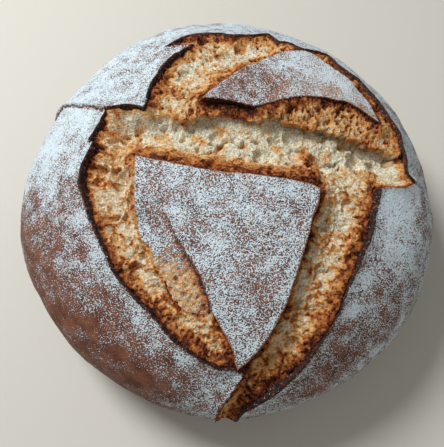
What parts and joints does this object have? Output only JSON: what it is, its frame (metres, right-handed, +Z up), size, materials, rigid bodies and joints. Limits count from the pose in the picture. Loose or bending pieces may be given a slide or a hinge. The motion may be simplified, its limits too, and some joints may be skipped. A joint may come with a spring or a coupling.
{
  "type": "rye sourdough loaf",
  "caption": "Round rye sourdough loaf with a floured crust, torn open by the oven round a three-cornered flap, on a flat base.",
  "frame": {"origin": "on the ground plane, below the middle of the loaf's bounding box", "axes": "+Z is up, out of the scored top; -Y is the front, where the tear runs down the side; +X is to the right of the front"},
  "size_m": [0.227, 0.2394, 0.0899],
  "materials": {
    "crust": "baked crust, matt, dusted with flour"
  },
  "bodies": {
    "root": {"loaf": "crust"}
  },
  "joints": []
}
